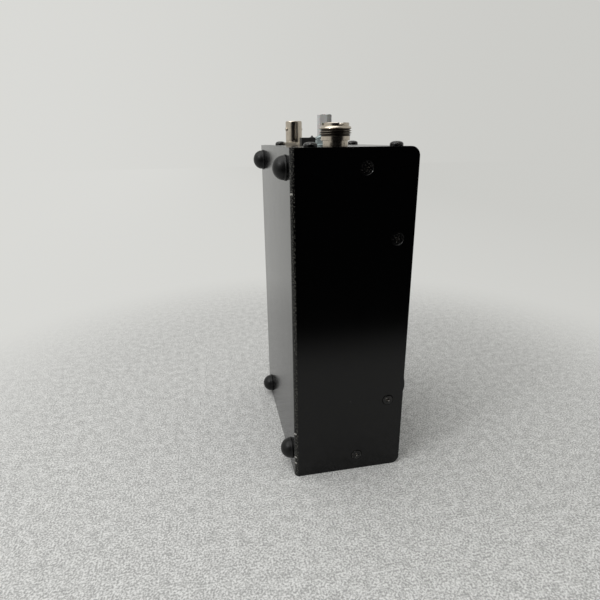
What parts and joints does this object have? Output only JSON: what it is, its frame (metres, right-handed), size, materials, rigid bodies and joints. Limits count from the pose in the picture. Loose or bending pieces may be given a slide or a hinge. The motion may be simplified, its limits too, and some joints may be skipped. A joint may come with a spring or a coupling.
{
  "type": "antenna tuner",
  "caption": "Small manual antenna tuner in a two-part sheet-metal case, with coaxial sockets, screw terminals, a slide switch and a panel of tuning knobs.",
  "frame": {"origin": "centre of the outside face of the plain end, the one that the tuner stands on", "axes": "+Z from the plain end to the connector panel, +X from the feet plate to the control panel, -Y towards one bare side"},
  "size_m": [0.0834, 0.108, 0.1914],
  "materials": {
    "black_paint": "fine-textured semi-gloss powder coat",
    "black_screw": "black oxide, semi-gloss",
    "rubber": "matte moulded rubber",
    "nickel": "warm bright nickel plating",
    "zinc": "bluish bright zinc plating",
    "brass": "machined brass",
    "grey_plastic": "matte light grey moulded plastic",
    "black_plastic": "satin moulded plastic",
    "white_insulator": "off-white insulator",
    "circuit_board": "green solder mask",
    "aluminium": "satin sheet and turned aluminium",
    "iron_powder": "red painted core",
    "copper": "enamelled copper wire",
    "red_lens": "clear red lens"
  },
  "bodies": {
    "case": {"base_cover": "black_paint", "bnc_contact": "brass", "bnc_insulator": "white_insulator", "bnc_nut": "nickel", "bnc_shell": "nickel", "chassis": "black_paint", "coil_core": "iron_powder", "coil_winding": "copper", "connector_board": "circuit_board", "foot_1": "rubber", "foot_2": "rubber", "foot_3": "rubber", "foot_4": "rubber", "ground_stud": "zinc", "lamp": "red_lens", "load_capacitor_frame": "aluminium", "load_capacitor_nut": "nickel", "load_capacitor_stator": "aluminium", "panel_screw_1": "black_screw", "panel_screw_2": "black_screw", "panel_screw_3": "black_screw", "panel_screw_4": "black_screw", "post_bush": "black_plastic", "post_stud": "nickel", "selector_body": "white_insulator", "selector_nut": "nickel", "side_screw_1": "black_screw", "side_screw_2": "black_screw", "side_screw_3": "black_screw", "side_screw_4": "black_screw", "side_screw_5": "black_screw", "side_screw_6": "black_screw", "side_screw_7": "black_screw", "side_screw_8": "black_screw", "slide_switch_body": "black_plastic", "standoff_1": "brass", "standoff_2": "brass", "standoff_3": "brass", "standoff_4": "brass", "toggle_body": "nickel", "toggle_nut": "nickel", "tune_capacitor_frame": "aluminium", "tune_capacitor_nut": "nickel", "tune_capacitor_stator": "aluminium", "uhf_contact": "brass", "uhf_insulator": "white_insulator", "uhf_nut": "nickel", "uhf_shell": "nickel"},
    "tune_shaft": {"tune_capacitor_rotor": "aluminium", "tune_knob": "black_plastic"},
    "load_shaft": {"load_capacitor_rotor": "aluminium", "load_knob": "black_plastic"},
    "selector_shaft": {"selector_shaft": "aluminium", "selector_knob": "black_plastic"},
    "toggle_lever": {"toggle_lever": "nickel"},
    "slide_switch_slider": {"slide_switch_slider": "black_plastic"},
    "post_washer": {"post_washer": "nickel"},
    "post_cap": {"post_cap": "grey_plastic"},
    "ground_washer": {"ground_washer": "zinc"},
    "ground_nut": {"ground_nut": "zinc"}
  },
  "joints": [
    {"name": "tune_turn", "type": "hinge", "parent": "case", "child": "tune_shaft", "pos_m": [0.0305, -0.024, 0.037], "axis": [1, 0, 0], "range_deg": [0, 180]},
    {"name": "load_turn", "type": "hinge", "parent": "case", "child": "load_shaft", "pos_m": [0.0305, 0.024, 0.037], "axis": [1, 0, 0], "range_deg": [0, 180]},
    {"name": "selector_turn", "type": "hinge", "parent": "case", "child": "selector_shaft", "pos_m": [0.0305, 0, 0.087], "axis": [1, 0, 0], "range_deg": [0, 330]},
    {"name": "toggle_tilt", "type": "hinge", "parent": "case", "child": "toggle_lever", "pos_m": [0.0317, 0.024, 0.137], "axis": [0, -1, 0], "range_deg": [0, 24]},
    {"name": "slider_travel", "type": "slide", "parent": "case", "child": "slide_switch_slider", "axis": [-1, 0, 0], "range_m": [0, 0.0037]},
    {"name": "post_lift", "type": "slide", "parent": "case", "child": "post_washer", "axis": [0, 0, 1], "range_m": [0, 0.00146]},
    {"name": "post_turn", "type": "hinge", "parent": "post_washer", "child": "post_cap", "pos_m": [-0.0015, 0, 0.1755], "axis": [0, 0, 1], "range_deg": [0, 751]},
    {"name": "ground_lift", "type": "slide", "parent": "case", "child": "ground_washer", "axis": [0, 0, 1], "range_m": [0, 0.00146]},
    {"name": "ground_turn", "type": "hinge", "parent": "ground_washer", "child": "ground_nut", "pos_m": [-0.0065, -0.0155, 0.1755], "axis": [0, 0, 1], "range_deg": [0, 751]}
  ],
  "couplings": [
    {"joint": "post_turn", "follows": "post_lift", "rad_per_m": 8976},
    {"joint": "ground_turn", "follows": "ground_lift", "rad_per_m": 8976}
  ]
}
